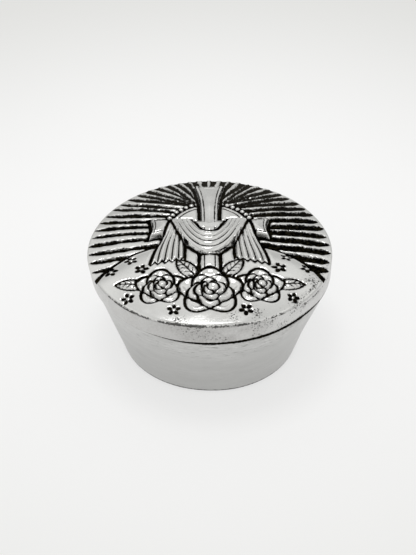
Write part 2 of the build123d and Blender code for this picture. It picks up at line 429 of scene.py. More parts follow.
def in_arm(along, across, reach):
    """Inside an arm of the cross, whose sides curve outward to a hollow end."""
    half = CROSS_WAIST + CROSS_FLARE * np.clip(along / reach, 0, 1) ** 3
    end = reach - CROSS_HOLLOW * (1 - (across / half) ** 2) - along
    return np.minimum(np.minimum(half - np.abs(across), end), along + CROSS_WAIST)


def lay_cross(relief):
    """A Latin cross, its faces sloping up to a ridge along the middle, with a line along inside its edge."""
    x, y = relief.x, relief.y
    inside = in_box(x, y, 0, (SUN_Y + CROSS_FOOT_Y) / 2, CROSS_WAIST, (SUN_Y - CROSS_FOOT_Y) / 2)
    inside = np.maximum(inside, in_arm(y - SUN_Y, x, CROSS_TOP_Y - SUN_Y))
    inside = np.maximum(inside, in_arm(np.abs(x), y - SUN_Y, CROSS_SPAN))
    ridge = np.minimum(inside, CROSS_WAIST)
    surface = CROSS_HEIGHT + pillow(inside, 0.5, 0.8) + CROSS_RIDGE_SLOPE * ridge
    relief.lay(inside, surface, groove=1.5, sink=0.8, wall=0.65)
    relief.carve(0.22 - np.abs(inside - 1.45), 0.3, 0.2)


def drape(x, y):
    """Where a point lies across the swag: 0 at its upper edge and 1 at its lower edge, found by halving.

    Each line along it hangs in a curve from the cloth's top, wider and lower than the one above it.
    """
    low = np.full_like(x, -0.6)
    high = np.full_like(x, 1.6)
    halvings = 14
    for _ in range(halvings):
        t = (low + high) / 2
        half_width = 8.0 + 8.0 * t
        bottom = 4.6 - 14.4 * t
        curve = bottom + (CLOTH_TOP_Y - bottom) * (np.abs(x) / half_width) ** 2.2
        above = y > curve
        high = np.where(above, t, high)
        low = np.where(above, low, t)
    return (low + high) / 2


def lay_tail(relief, side):
    """One tail of the cloth, down from an arm of the cross in widening folds."""
    x, y = relief.x, relief.y
    # It widens downward and leans outward, and its hem is a zigzag on a slant.
    half = 2.8 + 3.2 * smooth(CLOTH_TOP_Y, HEM_Y, y)
    middle = TAIL_X + 0.13 * (CLOTH_TOP_Y - y)
    across = (x * side - middle) / half
    hem = HEM_Y + 1.8 * np.abs(((2.2 * across + 8.25) % 1) * 2 - 1) - 1.4 * across
    inside = np.minimum(half * (1 - np.abs(across)), np.minimum(y - hem, CLOTH_TOP_Y - y))
    fold = np.cos(TAIL_FOLDS * pi * across + 0.7 * np.sin(0.22 * y + side))
    over_arm = np.exp(-(((y - SUN_Y) / 5.0) ** 2))
    top_edge = smooth(CLOTH_TOP_Y - 1.7, CLOTH_TOP_Y, y)
    folds = FOLD_HEIGHT * fold * smooth(CLOTH_TOP_Y, 4, y)
    relief.lay(inside, TAIL_HEIGHT + 0.9 * over_arm + folds - 0.5 * top_edge, groove=1.4, sink=0.7, wall=0.6)
    # A black line lies at the bottom of each fold, and fades out towards the top.
    line = 1.7 * (-fold - 0.72) - 0.7 * smooth(HEM_Y + 12, 14, y)
    relief.carve(np.minimum(line, inside - 0.5), 0.4, 0.3)


def lay_swag(relief):
    """The cloth's middle, hanging in front of the post between the arms."""
    x, y = relief.x, relief.y
    step = 0.05
    t = drape(x, y)
    never_zero = 1e-4
    slope = np.hypot(drape(x + step, y) - t, drape(x, y + step) - t) / step + never_zero
    inside = np.minimum(np.minimum(t, 1 - t) / slope, CLOTH_TOP_Y - y)
    fold = np.cos(SWAG_FOLDS * 2 * pi * t * (1.2 - 0.2 * t) + 0.4 + 0.5 * np.sin(0.16 * x))
    lift = SWAG_HEIGHT - 0.8 * (t - 0.5) ** 2 - 0.5 * smooth(CLOTH_TOP_Y - 1.9, CLOTH_TOP_Y, y)
    relief.lay(inside, lift + FOLD_HEIGHT * fold * smooth(16, 6, y), groove=1.4, sink=0.8, wall=0.6)
    line = 1.5 * (-fold - 0.70) - 0.3 * smooth(3, 13, y)
    relief.carve(np.minimum(line, inside - 0.4), 0.4, 0.3)


def lay_leaf(relief, rose, pointing, length, width):
    """A leaf out from under a rose: the lens between two arcs, toothed and veined."""
    angle = radians(pointing)
    distance = rose[2] - LEAF_TUCK + length / 2
    middle_x = rose[0] + distance * cos(angle)
    middle_y = rose[1] + distance * sin(angle)
    along, across = turned(relief.x, relief.y, middle_x, middle_y, angle)
    arc_radius = (length**2 + width**2) / (4 * width)
    offset = arc_radius - width / 2
    inside = arc_radius - np.maximum(np.hypot(along, across - offset), np.hypot(along, across + offset))
    teeth = 0.25 * np.abs(np.sin(2.2 * along))
    inside -= teeth
    hollow = 0.3 * np.exp(-((across / 0.5) ** 2))
    relief.lay(inside, LEAF_HEIGHT + pillow(inside, 0.9, 2.0) - hollow, groove=0.9, sink=0.6)
    # The midrib, then pairs of side veins that slant towards the tip.
    veins = 0.33 - 0.2 * along / length - np.abs(across)
    for number in range(-2, 3):
        vein = 0.22 - 0.7 * np.abs(along - 0.17 * number * length - np.abs(across))
        veins = np.maximum(veins, np.minimum(vein, width / 2 - 0.9 - np.abs(across)))
    relief.carve(np.minimum(veins, inside - 0.3), 0.35, 0.3)


def lay_rose(relief, rose):
    """Rings of curled petals, each ring higher than the one outside it, and turned from it."""
    x = relief.x - rose[0]
    y = relief.y - rose[1]
    radius = rose[2]
    for count, offset, share, first, height in PETAL_RINGS:
        size = radius * share
        for number in range(count):
            angle = radians(first) + 2 * pi * number / count
            petal_x = radius * offset * cos(angle)
            petal_y = radius * offset * sin(angle)
            facing = np.arctan2(y - petal_y, x - petal_x) - angle
            wavy = 0.06 * size * np.cos(3 * facing)
            inside = in_disc(x, y, petal_x, petal_y, size) + wavy
            # The petal curls up along its edge, is dished inside it, and tilts down from its middle.
            outward = (x * cos(angle) + y * sin(angle)) / radius - offset
            curl = 0.45 * np.exp(-(((inside - 1.1) / 0.9) ** 2))
            dish = 0.35 * np.clip(inside / size, 0, 1)
            tilt = np.where(outward > 0, 0.9 * outward, -0.5 * outward)
            groove = 0.5 + 0.13 * size
            relief.lay(inside, height + curl - dish - tilt, groove=groove, sink=0.6)


def punch_flower(relief, centre_x, centre_y, radius, turn):
    """A small flower of five petals, punched into a smooth field."""
    mark = np.full_like(relief.x, FAR_OUTSIDE)
    petals = 5
    for petal in range(petals):
        along, across = turned(relief.x, relief.y, centre_x, centre_y, radians(turn + 360 / petals * petal))
        half_width = 0.31 * radius
        half_length = 0.40 * radius
        ellipse = 1 - np.hypot((along - 0.60 * radius) / half_length, across / half_width)
        mark = np.maximum(mark, half_width * ellipse)
    relief.carve(mark, 0.6, 0.35)


def lid_top(x, y):
    """Height of the lid's top over the plane of its rim, and its patina, at points of the plan."""
    relief = Relief(x, y)
    carve_rays(relief)
    lay_nimbus(relief)
    lay_hills(relief)
    lay_cross(relief)
    lay_tail(relief, -1)
    lay_tail(relief, 1)
    lay_swag(relief)
    for leaf in LEAVES:
        lay_leaf(relief, *leaf)
    for flower in FLOWERS:
        punch_flower(relief, *flower)
    for rose in (LEFT_ROSE, RIGHT_ROSE, FRONT_ROSE):
        lay_rose(relief, rose)
    radius = np.minimum(np.hypot(x, y), RIM_RADIUS)
    inward = RIM_RADIUS - radius
    sphere_radius = (RIM_RADIUS**2 + DOME_RISE**2) / (2 * DOME_RISE)
    dome = DOME_RISE - sphere_radius + np.sqrt(sphere_radius**2 - radius**2)
    waves = WAVE_HEIGHT * noise(x, y, 13.0, 31) + RIPPLE_HEIGHT * noise(x, y, 4.5, 32)
    height = relief.height + waves + BACK_RISE * smooth(0.2, 1.0, y / RIM_RADIUS)
    kept = RIM_SHARE + FRONT_RIM_SHARE * near(np.arctan2(y, x), FRONT, 21)
    sunk = (1 - kept) * (1 - np.clip(inward / SINK_BORDER, 0, 1)) ** 2
    filled = GROOVE_LOSS * smooth(3.0, 0.0, inward)
    height = height * (1 - np.where(height > 0, sunk, filled))
    rounding = EDGE_ROUND + (FRONT_EDGE_ROUND - EDGE_ROUND) * smooth(0.25, 0.85, -y / RIM_RADIUS)
    over = np.maximum(rounding * (1 + 0.2 * noise(x, y, 11.0, 33)) - inward, 0)
    return dome + height - EDGE_RADIUS + np.sqrt(EDGE_RADIUS**2 - over**2), relief.patina_and_shade


# ---------------- meshes


def rounded(corners):
    """A profile of (radius, z) points through corners given as (radius, z, rounding)."""
    points = []
    for index, (r, z, rounding) in enumerate(corners):
        here = Vector((r, z))
        if rounding == 0 or index in (0, len(corners) - 1):
            points.append((r, z))
            continue
        back = (Vector(corners[index - 1][:2]) - here).normalized()
        ahead = (Vector(corners[index + 1][:2]) - here).normalized()
        half_angle = back.angle(ahead) / 2
        length = rounding / np.tan(half_angle)
        centre = here + (back + ahead).normalized() * rounding / np.sin(half_angle)
        start = here + back * length - centre
        finish = here + ahead * length - centre
        for step in range(CORNER_STEPS + 1):
            spoke = start.lerp(finish, step / CORNER_STEPS).normalized() * rounding
            points.append(tuple(centre + spoke))
    return points


def divided(start, finish, count):
    """Points along a straight run of a profile, without its ends."""
    return [tuple(Vector(start).lerp(Vector(finish), k / count)) for k in range(1, count)]


def ring_of(profile_point, segments, shift=None):
    """One ring of a turned surface. shift gives how much further out a point lies at each angle."""
    angles = (2 * pi * np.arange(segments) / segments + pi) % (2 * pi) - pi
    radius = np.full(segments, profile_point[0])
    if shift is not None:
        radius = radius + shift(angles, profile_point[1])
    z = np.full(segments, profile_point[1])
    return np.column_stack([radius * np.cos(angles), radius * np.sin(angles), z])


def disc_grid(rings):
    """A square grid pressed into a unit disc: its points, its faces, and which points lie on the circle."""
    side = 2 * rings + 1
    a, b = np.meshgrid(np.linspace(-1, 1, side), np.linspace(-1, 1, side))
    wide = np.abs(a) > np.abs(b)
    radius = np.where(wide, a, b)
    safe = np.where(radius == 0, 1, radius)
    angle = np.where(wide, pi / 4 * b / safe, pi / 2 - pi / 4 * a / safe)
    x = (radius * np.cos(angle)).ravel()
    y = (radius * np.sin(angle)).ravel()
    corner = (np.arange(side - 1)[:, None] * side + np.arange(side - 1)).ravel()
    faces = np.column_stack([corner, corner + 1, corner + side + 1, corner + side])
    low = np.arange(side - 1)
    edge = np.concatenate([low, side - 1 + low * side, side * side - 1 - low, side * (side - 1) - low * side])
    # The edge is listed from the point at +X.
    start = int(np.argmin(np.abs(np.arctan2(y[edge], x[edge])) + (x[edge] < 0)))
    return x, y, faces, np.roll(edge, -start)


class MeshParts:
    """Gathers rings of points and the faces between them into one mesh."""

    def __init__(self):
        self.points = []
        self.faces = []
        self.count = 0

    def add_points(self, points):
        """Adds points, and gives their numbers in the mesh."""
        first = self.count
        self.points.append(points)
        self.count += len(points)
        return np.arange(first, self.count)

    def bridge(self, upper, lower):
        """Faces between two rings; the lower may have a whole fraction of the upper's points."""
        ratio = len(upper) // len(lower)
        for index in range(len(lower)):
            here = lower[index]
            following = lower[(index + 1) % len(lower)]
            fan = [upper[(index * ratio + step) % len(upper)] for step in range(ratio + 1)]
            middle = (ratio + 1) // 2
            if ratio == 1:
                self.faces.append((fan[0], here, following, fan[1]))
                continue
            for step in range(ratio):
                self.faces.append((fan[step], here if step < middle else following, fan[step + 1]))
            self.faces.append((fan[middle], here, following))

    def cap(self, ring, centre, facing_up):
        """A fan that closes a ring."""
        middle = self.add_points(np.array([centre]))[0]
        for index in range(len(ring)):
            pair = (ring[index], ring[(index + 1) % len(ring)])
            self.faces.append((pair[0], pair[1], middle) if facing_up else (pair[1], pair[0], middle))

    def build(self, name):
        """Makes the mesh, smooth-shaded, and its object."""
        mesh = bpy.data.meshes.new(name)
        points = np.concatenate(self.points) * MM
        mesh.from_pydata(points, [], [tuple(int(i) for i in face) for face in self.faces])
        mesh.polygons.foreach_set("use_smooth", np.ones(len(mesh.polygons), bool))
        piece = bpy.data.objects.new(name, mesh)
        bpy.context.scene.collection.objects.link(piece)
        return piece


def sharpen(piece, ring):
    """Marks the edges that run along a ring as sharp."""
    mesh = piece.data
    ends = np.zeros(2 * len(mesh.edges), int)
    mesh.edges.foreach_get("vertices", ends)
    sharp = np.isin(ends.reshape(-1, 2), ring).all(axis=1)
    mesh.attributes.new("sharp_edge", "BOOLEAN", "EDGE").data.foreach_set("value", sharp)


def store(piece, name, values):
    """Keeps one number for each point of the mesh, for its material to read."""
    layer = piece.data.attributes.new(name, "FLOAT", "POINT")
    layer.data.foreach_set("value", values.astype(np.float32))


def polar(points):
    """Distance from the axis, and angle round it."""
    return np.hypot(points[:, 0], points[:, 1]), np.arctan2(points[:, 1], points[:, 0])


def worn(angles):
    """How worn the mouth is: 1 at the front right, nothing at the back."""
    degrees = angles * 180 / pi - FRONT
    return smooth(-40, 8, degrees) * smooth(80, 50, degrees)


def gathered_dirt_and_shade(angles):
    """How much dirt and painted shadow lie in the seam: 1 at one place at the front right."""
    return near(angles, DIRT_AND_SHADE_ANGLE, 13)


def body_shift(angles, z):
    """How much further out the bowl's surface lies than its profile says: hand finishing isn't quite true."""
    uneven = BODY_UNEVENNESS * noise(20 * np.cos(angles), 20 * np.sin(angles) + z, 9.0, 51)
    fuller = FULLNESS * near(angles, -8, 38) * smooth(12.0, 31.0, z)
    foot = (FOOT + FOOT_RIGHT * smooth(-0.15, 0.35, np.cos(angles))) * smooth(0.2, 0.9, -np.sin(angles))
    mouth = MOUTH_SPREAD - MOUTH_WEAR * worn(angles)
    # The foot and the mouth each fade out along the side.
    return uneven + fuller + foot * smooth(9.0, 0.0, z) + mouth * smooth(SEAT_Z - 2.4, SEAT_Z - 0.2, z)


def make_body():
    """The bowl: outside, mouth and cavity in one closed surface."""
    inner = MOUTH_RADIUS - WALL
    profile = rounded([
        (0, 0, 0),
        (BASE_RADIUS, 0, BASE_EDGE_ROUND),
        (MOUTH_RADIUS, SEAT_Z, MOUTH_EDGE_ROUND),
        (inner, SEAT_Z, MOUTH_EDGE_ROUND),
        (inner - TAPER * (SEAT_Z - FLOOR_THICKNESS), FLOOR_THICKNESS, CAVITY_CORNER_ROUND),
        (0, FLOOR_THICKNESS, 0),
    ])
    parts = MeshParts()
    rings = []
    previous = profile[1]
    long_run = 3
    for point in profile[1:-1]:
        run = hypot(point[0] - previous[0], point[1] - previous[1])
        if run > long_run:
            for between in divided(previous, point, round(run)):
                rings.append(parts.add_points(ring_of(between, BODY_SEGMENTS, body_shift)))
        rings.append(parts.add_points(ring_of(point, BODY_SEGMENTS, body_shift)))
        previous = point
    for lower, upper in zip(rings, rings[1:]):
        parts.bridge(upper, lower)
    parts.cap(rings[0], (0, 0, 0), facing_up=False)
    parts.cap(rings[-1], (0, 0, FLOOR_THICKNESS), facing_up=True)
    piece = parts.build("box_body_casting")
    mark_body(piece, np.concatenate(parts.points))
    return piece


def mark_body(piece, points):
    """Where the bowl has dirt and painted shade at the seam, painted shadow at its foot, and where it is
    pitted or dull.
    """
    x, y, z = points.T
    radius, angles = polar(points)
    outer = radius > MOUTH_RADIUS - WALL / 2 - TAPER * (SEAT_Z - z)
    # The dark band under the seam is dirt with painted shadow of the gap under the lid.
    reach = SEAM_DIRT_AND_SHADE + WORN_DIRT_AND_SHADE * worn(angles) * (1 + 0.15 * noise(x, y, 6.0, 53))
    sharpness = 0.6 - 0.35 * gathered_dirt_and_shade(angles)
    seam = sharpness * (z - SEAT_Z + reach)
    # Painted contact shadow: a thin dark line along the foot.
    foot = np.minimum(FOOT_SHADE, FOOT_SHADE_HEIGHT - z)
    store(piece, "patina_and_shade", np.where(outer, np.maximum(seam, foot), FAR_OUTSIDE))
    # The foot is a little pitted, and the inside is dull.
    store(piece, "pitting", np.where(outer, 0.4 * smooth(2.5, 0.0, z), 0))
    store(piece, "dullness_and_shade", np.where(outer, 0.0, 0.2))


def lid_shift(angles, z):
    """The lid overhangs the bowl most at the right, where its side is nearly upright."""
    down = np.clip((SEAT_Z + LID_SIDE_HEIGHT - z) / LID_SIDE_HEIGHT, 0, 1)
    uneven = LID_UNEVENNESS * noise(25 * np.cos(angles), 25 * np.sin(angles) + z, 6.0, 52)
    overhang = 0.05 + LID_OVERHANG * near(angles, -12, 42)
    return (overhang + uneven) * down


def make_lid():
    """The lid: relief, side, lip and recess in one closed surface."""
    parts = MeshParts()
    x, y, faces, rim = disc_grid(LID_RINGS)
    x *= RIM_RADIUS
    y *= RIM_RADIUS
    height, patina_and_shade = lid_top(x, y)
    top = parts.add_points(np.column_stack([x, y, SEAT_Z + LID_SIDE_HEIGHT + height]))
    parts.faces.extend(faces.tolist())
    lip_outer = MOUTH_RADIUS - WALL - LIP_CLEARANCE
    tip_outer = lip_outer - TAPER * (SEAT_Z - LIP_TIP_Z)
    tip_inner = tip_outer - LIP_THICKNESS
    recess = tip_inner - RECESS_DRAFT
    ceiling_z = SEAT_Z + LID_SIDE_HEIGHT + DOME_RISE - LID_WEB
    rim_z = SEAT_Z + LID_SIDE_HEIGHT
    # Rings down the side, closest together under the rim.
    shares = (np.arange(LID_SIDE_RINGS) / LID_SIDE_RINGS) ** 1.5
    top_edge = Vector((RIM_RADIUS, rim_z))
    bottom_edge = Vector((SEAM_RADIUS, SEAT_Z))
    profile = [tuple(top_edge.lerp(bottom_edge, share)) for share in shares]
    profile += rounded([
        (RIM_RADIUS, rim_z, 0),
        (SEAM_RADIUS, SEAT_Z, SEAM_EDGE_ROUND),
        (lip_outer, SEAT_Z, 0),
        (tip_outer, LIP_TIP_Z, LIP_EDGE_ROUND),
        (tip_inner, LIP_TIP_Z, LIP_EDGE_ROUND),
        (recess, ceiling_z - RECESS_CROWN, RECESS_CORNER_ROUND),
        (0, ceiling_z, 0),
    ])[1:-1]
    # Below the rim there is one point to four of the relief's.
    thinning = 4
    segments = len(rim) // thinning
    rim_lift = height[rim][::thinning]
    # How far each point lies from the rim: inward on the top, and down elsewhere.
    below = [RIM_RADIUS - np.hypot(x, y)]
    upper = top[rim]
    for point in profile[1:]:
        ring_points = ring_of(point, segments, lid_shift if point[0] > lip_outer else None)
        # The rim's ups and downs die out down the side.
        ring_points[:, 2] += rim_lift * max(0, (point[1] - SEAT_Z) / LID_SIDE_HEIGHT) ** 3
        ring = parts.add_points(ring_points)
        parts.bridge(upper, ring)
        below.append(np.full(segments, rim_z - point[1]))
        upper = ring
    parts.cap(upper, (0, 0, ceiling_z), facing_up=False)
    piece = parts.build("lid_casting")
    sharpen(piece, top[rim])
    mark_lid(piece, np.concatenate(parts.points), top, patina_and_shade, np.concatenate([*below, [rim_z]]))
    return piece


def mark_lid(piece, points, top, patina_and_shade, below):
    """Where the lid is black, pitted or dull.

    top lists the relief's points, patina is theirs, and below gives how far each point is from the rim.
    """
    x, y, z = points.T
    radius, angles = polar(points)
    side = (radius > SEAM_RADIUS - 1.2) & (z > SEAT_Z - 0.1)
    side[top] = False
    # The dark band up the lid's side from the seam is dirt with painted shadow of the gap.
    seam_dirt_and_shade = 0.1 + 0.5 * worn(angles) + DIRT_AND_SHADE_ON_LID * gathered_dirt_and_shade(angles)
    sharpness = 1 - 0.65 * gathered_dirt_and_shade(angles)
    level = np.where(side, sharpness * (seam_dirt_and_shade - (z - SEAT_Z)), FAR_OUTSIDE)
    level[top] = patina_and_shade
    store(piece, "patina_and_shade", level)

    left = near(angles, -140, 15)
    front = near(angles, FRONT, 42)
    front_right = near(angles, -52, 18)
    right = near(angles, -36, 28)
    patches = np.clip(0.5 + noise(x + y, 2 * z, 7.0, 62), 0, 1)

    # A broken line of pits runs along the front of the rim, weaker at the right and nicked at the left.
    broken = 0.90 + 0.30 * noise(x, y, 3.0, 61)
    along = smooth(cos(radians(72)), cos(radians(30)), np.cos(angles - radians(FRONT)))
    strength = 1 - 0.5 * right + left * (0.25 + 0.5 * noise(x, y, 2.2, 63))
    rim_line = 1.15 * smooth(0.75, 0.15, below) * broken * along * strength
    # The side is speckled at the front, and rough under the rim at the right.
    speckled_side = 0.52 * front * patches + 0.34 * front_right * (0.7 + 0.3 * patches)
    rough_rim = 0.85 * right * np.exp(-(((below - 1.5) / 1.3) ** 2)) * (0.6 + 0.4 * patches)
    pitting = np.maximum(np.where(side, speckled_side, 0.0), rough_rim)
    pitting = np.maximum(pitting, rim_line)
    for centre_x, centre_y, size in SPECKLED:
        away = np.hypot(x - centre_x, y - centre_y) / size
        patch = SPECKLED_PITTING * np.exp(-(away**2))
        pitting = np.where(side, pitting, np.maximum(pitting, patch))
    pitting[z < SEAT_Z] = 0
    store(piece, "pitting", pitting)

    # Painted shade and light: the side is darker at the front and brighter at the front right, for what it
    # reflects there.
    dull_and_shaded_side = 0.35 + 0.12 * front * (0.6 + 0.4 * patches) - 0.20 * front_right
    dull_under = np.where(z < SEAT_Z - 0.05, 0.45, 0.0)
    store(piece, "dullness_and_shade", np.where(side, dull_and_shaded_side, dull_under))


body_piece = make_body()
lid_piece = make_lid()


# ---------------- materials


def grey(level):
    """A grey that is slightly warm."""
    return (level, level, level - 0.01, 1)


class Shader:
    """A material's node tree, with short ways to add its nodes."""

    def __init__(self, name):
        self.material = bpy.data.materials.new(name)
        self.material.use_nodes = True
        self.tree = self.material.node_tree
        self.surface = self.tree.nodes["Principled BSDF"]
        self.position = self.add("ShaderNodeTexCoord").outputs["Object"]

    def add(self, kind, values=None, **settings):
        """Adds a node, with values for its sockets, and its settings."""
        node = self.tree.nodes.new(kind)
        for key, value in settings.items():
            setattr(node, key, value)
        for key, value in (values or {}).items():
            self.put(node.inputs[key], value)
        return node

    def put(self, socket, value):
        """Links a socket to the output given, or sets it to a constant."""
        if isinstance(value, bpy.types.NodeSocket):
            self.tree.links.new(value, socket)
        else:
            socket.default_value = value

    def math(self, operation, first, second=0.0, third=0.0):
        node = self.add("ShaderNodeMath", {0: first, 1: second, 2: third}, operation=operation)
        return node.outputs[0]

    def noise(self, size_mm, detail=3.0, roughness=0.5, where=None):
        """Noise from 0 to 1, with features of about that size."""
        values = {"Vector": where or self.position, "Scale": 1 / (size_mm * MM)}
        values.update({"Detail": detail, "Roughness": roughness})
        return self.add("ShaderNodeTexNoise", values).outputs[0]

    def wander(self, size_mm, shift_mm):
        """Position shifted a little, by a different amount from place to place."""
        values = {"Vector": self.position, "Scale": 1 / (size_mm * MM), "Detail": 1.0}
        noise = self.add("ShaderNodeTexNoise", values)
        values = {0: noise.outputs["Color"], "Scale": shift_mm * MM}
        shift = self.add("ShaderNodeVectorMath", values, operation="SCALE").outputs[0]
        return self.add("ShaderNodeVectorMath", {0: self.position, 1: shift}, operation="ADD").outputs[0]

    def axis(self, name):
        """How far along X, Y or Z a point lies, in metres."""
        return self.add("ShaderNodeSeparateXYZ", {0: self.position}).outputs[name]

    def stored(self, name):
        """A number that the mesh keeps for each of its points."""
        return self.add("ShaderNodeAttribute", attribute_name=name).outputs["Fac"]

    def stretched(self, scale, turn_deg=0.0):
        """Position scaled by a different amount along each axis, after a turn about Z."""
        values = {"Vector": self.position, "Scale": scale, "Rotation": (0, 0, radians(turn_deg))}
        return self.add("ShaderNodeMapping", values).outputs[0]

    def ramp(self, value, low, high, out_low=0.0, out_high=1.0):
        """A smooth step from out_low at low to out_high at high. low may be the greater one."""
        values = {"Value": value, "From Min": low, "From Max": high, "To Min": out_low, "To Max": out_high}
        return self.add("ShaderNodeMapRange", values, interpolation_type="SMOOTHSTEP").outputs[0]

    def mix(self, factor, first, second):
        """The first colour where the factor is 0, and the second where it is 1."""
        node = self.add("ShaderNodeMix", data_type="RGBA")
        # The node has sockets for every kind of value, and these are the ones for colours.
        first_socket, second_socket, result = 6, 7, 2
        self.put(node.inputs[0], factor)
        self.put(node.inputs[first_socket], first)
        self.put(node.inputs[second_socket], second)
        return node.outputs[result]

    def bump(self, height, distance_mm, normal=None):
        """A normal for relief that is this deep, laid over another normal if one is given."""
        node = self.add("ShaderNodeBump", {"Height": height, "Distance": distance_mm * MM, "Strength": 1.0})
        if normal is not None:
            self.put(node.inputs["Normal"], normal)
        return node.outputs[0]


def speckles(shader, amount):
    """Round pits of many sizes, one to a cell of a ragged lattice, and larger where the amount is greater."""
    bent = shader.wander(0.6, 0.5)
    cells = shader.add("ShaderNodeTexVoronoi", {"Vector": bent, "Scale": 1 / (SPECKLE_SPACING * MM)})
    luck = shader.add("ShaderNodeSeparateXYZ", {0: cells.outputs["Color"]}).outputs["X"]
    clump = shader.ramp(shader.noise(3.0, 2.0), 0.35, 0.65)
    size = shader.math("MULTIPLY", amount, shader.math("MULTIPLY_ADD", luck, 2.0, -0.7))
    size = shader.math("MULTIPLY", size, shader.math("MULTIPLY_ADD", clump, 0.6, 0.4))
    return shader.ramp(shader.math("SUBTRACT", size, cells.outputs["Distance"]), -0.02, 0.06)


def darkened(shader, bright):
    """Colours metal, black where its mesh says that it holds patina or painted shade, or is pitted.

    Gives how black it is, where its pits are, and how much haze dulls and shades it.
    """
    # Grit makes the edge of the patina ragged.
    grit = shader.math("SUBTRACT", shader.noise(0.7, 4.0, 0.6), 0.5)
    level = shader.math("MULTIPLY_ADD", grit, 0.7, shader.stored("patina_and_shade"))
    patina_and_shade = shader.ramp(level, -0.075, 0.105)
    # A pit is where fine noise, with more added where there is more pitting, rises over a limit.
    pitting = shader.stored("pitting")
    pits = shader.math("MULTIPLY", pitting, pitting)
    pits = shader.math("MULTIPLY_ADD", pits, 0.36, shader.noise(PIT_SIZE, 3.0, 0.6))
    pits = shader.math("MAXIMUM", shader.ramp(pits, 0.74, 0.78), speckles(shader, pitting))
    black = shader.math("MAXIMUM", patina_and_shade, shader.math("MULTIPLY", pits, 0.85))
    # Haze lies beside the patina, among the pits, and where the mesh gives dullness and painted shade.
    haze_and_shade = shader.math("MULTIPLY", shader.ramp(level, -0.28, 0.1), shader.noise(1.6, 3.0))
    haze_and_shade = shader.math("MULTIPLY_ADD", pitting, 0.15, haze_and_shade)
    grain = shader.ramp(shader.noise(0.7, 4.0, 0.75), 0.34, 0.66, 0.8, 1.2)
    haze_and_shade = shader.math("MULTIPLY_ADD", shader.stored("dullness_and_shade"), grain, haze_and_shade)
    bright = shader.mix(haze_and_shade, bright, DULL_AND_SHADED_METAL)
    # The patina is brown in places, and lighter towards the back of the lid, a painted sheen.
    stain = shader.mix(shader.ramp(shader.noise(1.2, 4.0), 0.42, 0.68), BLACK_PATINA, BROWN_PATINA)
    stain = shader.mix(shader.ramp(shader.axis("Y"), 0.015, 0.045), stain, PATINA_WITH_PAINTED_SHEEN)
    shader.put(shader.surface.inputs["Base Color"], shader.mix(black, bright, stain))
    shader.put(shader.surface.inputs["Metallic"], shader.math("SUBTRACT", 1.0, black))
    shader.surface.inputs["Specular IOR Level"].default_value = 0.0
    return black, pits, haze_and_shade


def patinated_metal():
    """Polished aluminium, black where the relief holds patina."""
    shader = Shader("patinated_casting")
    # Fine grain, over slow changes of tone.
    grain = shader.math("MULTIPLY_ADD", shader.noise(0.9, 4.0, 0.7), 0.8, -0.4)
    grain = shader.math("ADD", grain, shader.noise(6.0, 4.0))
    tone = shader.mix(grain, grey(0.74), grey(0.81))
    black, pits, haze_and_shade = darkened(shader, tone)
    satin = shader.ramp(shader.noise(5.0, 4.0), 0.3, 0.7, 0.15, 0.23)
    satin = shader.math("MULTIPLY_ADD", haze_and_shade, 0.35, satin)
    shader.put(shader.surface.inputs["Roughness"], shader.math("MULTIPLY_ADD", black, 0.5, satin))
    # Polishing scratches lie one way, in long thin streaks.
    scratches = shader.noise(1.0, 2.0, 0.6, shader.stretched((0.06, 2.6, 1), 28))
    normal = shader.bump(scratches, 0.010)
    normal = shader.bump(shader.noise(0.45, 5.0, 0.6), 0.018, normal=normal)
    normal = shader.bump(pits, -0.08, normal=normal)
    shader.put(shader.surface.inputs["Normal"], normal)
    return shader.material


def satin_metal():
    """The turned side of the bowl, with painted shade that darkens it towards its foot."""
    shader = Shader("satin_casting")
    # Turning left level streaks, strongest near the mouth, over wide blotches.
    streaks = shader.noise(1.0, 3.0, 0.6, shader.stretched((0.05, 0.05, 2.2)))
    blotches = shader.noise(1.0, 4.0, 0.6, shader.stretched((0.06, 0.06, 0.3)))
    height = shader.axis("Z")
    strength = shader.ramp(height, 0.020, 0.034, 0.2, 0.9)
    shade = shader.math("MULTIPLY", shader.math("SUBTRACT", streaks, 0.5), strength)
    shade = shader.math("ADD", shade, shader.math("MULTIPLY_ADD", blotches, 0.4, 0.35))
    # Painted shade: the side is darker towards the foot and brighter towards the mouth.
    shade_by_height = shader.ramp(height, 0.004, 0.040)
    dim = shader.mix(shade_by_height, grey(0.49), grey(0.54))
    pale = shader.mix(shade_by_height, grey(0.54), grey(0.675))
    tone = shader.mix(shader.ramp(shade, 0.36, 0.74), dim, pale)
    # The file left short dark and bright dashes, most of them under the mouth, and more at the right.
    dashes = shader.noise(1.0, 4.0, 0.6, shader.stretched((0.26, 0.26, 1.7)))
    band = shader.math("MULTIPLY", shader.ramp(height, 0.022, 0.031), shader.ramp(height, 0.0352, 0.0335))
    band = shader.math("MULTIPLY_ADD", band, shader.ramp(shader.axis("X"), -0.035, 0.010, 0.40, 0.90), 0.12)
    tone = shader.mix(shader.math("MULTIPLY", shader.ramp(dashes, 0.57, 0.67), band), tone, grey(0.28))
    tone = shader.mix(shader.math("MULTIPLY", shader.ramp(dashes, 0.41, 0.32), band), tone, grey(0.76))
    black, pits, _ = darkened(shader, tone)
    satin = shader.ramp(streaks, 0.3, 0.7, 0.30, 0.42)
    shader.put(shader.surface.inputs["Roughness"], shader.math("MULTIPLY_ADD", black, 0.3, satin))
    normal = shader.bump(streaks, 0.012)
    normal = shader.bump(shader.noise(0.5, 4.0, 0.6), 0.008, normal=normal)
    normal = shader.bump(pits, -0.06, normal=normal)
    shader.put(shader.surface.inputs["Normal"], normal)
    return shader.material


def dress(piece, body, node, material):
    """Gives a piece its material and its body, and hides the CAD node that it stands for."""
    piece.data.materials.append(material)
    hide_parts(node)
    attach(piece, body)


dress(body_piece, "body", "box_body", satin_metal())
dress(lid_piece, "lid", "lid", patinated_metal())


# ---------------- setting


